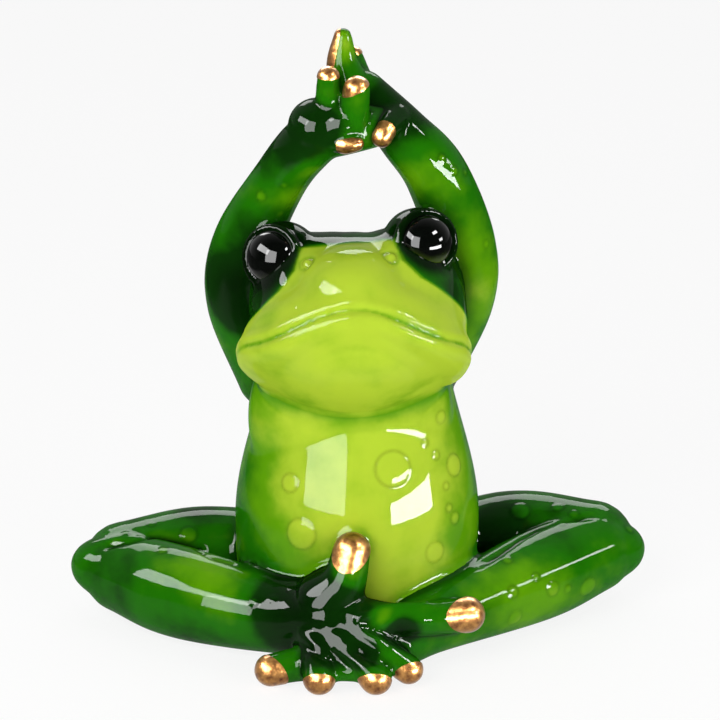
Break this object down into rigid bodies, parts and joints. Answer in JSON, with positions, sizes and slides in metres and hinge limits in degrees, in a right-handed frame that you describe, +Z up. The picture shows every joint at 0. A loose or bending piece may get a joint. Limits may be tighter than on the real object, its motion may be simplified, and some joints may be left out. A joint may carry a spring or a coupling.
{
  "type": "frog figurine",
  "caption": "Glossy cast resin frog sitting cross-legged with its arms raised and hands joined above its head, with gilded finger and toe tips; a free-standing ornament.",
  "frame": {"origin": "On the flat base that it stands on, under the middle of the torso", "axes": "+Z up, the frog faces -Y, +X is the frog's own left"},
  "size_m": [0.1164, 0.0703, 0.1298],
  "materials": {
    "lime_lacquer": "translucent lime lacquer airbrushed over cast resin, under a thick gloss coat",
    "green_lacquer": "translucent deep green lacquer airbrushed over cast resin, under a thick gloss coat",
    "gold_leaf": "rubbed gold leaf with bronze-brown edges, glossed over",
    "black_glass_eye": "polished black dome with an olive lower edge",
    "steel_pin": "cut steel wire"
  },
  "bodies": {
    "root": {"torso": "lime_lacquer", "head": "lime_lacquer", "eye_left": "black_glass_eye", "eye_right": "black_glass_eye", "arm_left": "green_lacquer", "arm_right": "green_lacquer", "hand_left": "green_lacquer", "hand_right": "green_lacquer", "hand_left_tips": "gold_leaf", "hand_right_tips": "gold_leaf", "leg_left": "green_lacquer", "leg_right": "green_lacquer", "foot_left": "green_lacquer", "foot_right": "green_lacquer", "foot_left_tips": "gold_leaf", "foot_right_tips": "gold_leaf", "neck_dowel": "steel_pin", "shoulder_dowels": "steel_pin", "hip_dowels": "steel_pin", "wrist_dowels": "steel_pin", "ankle_dowels": "steel_pin"}
  },
  "joints": []
}
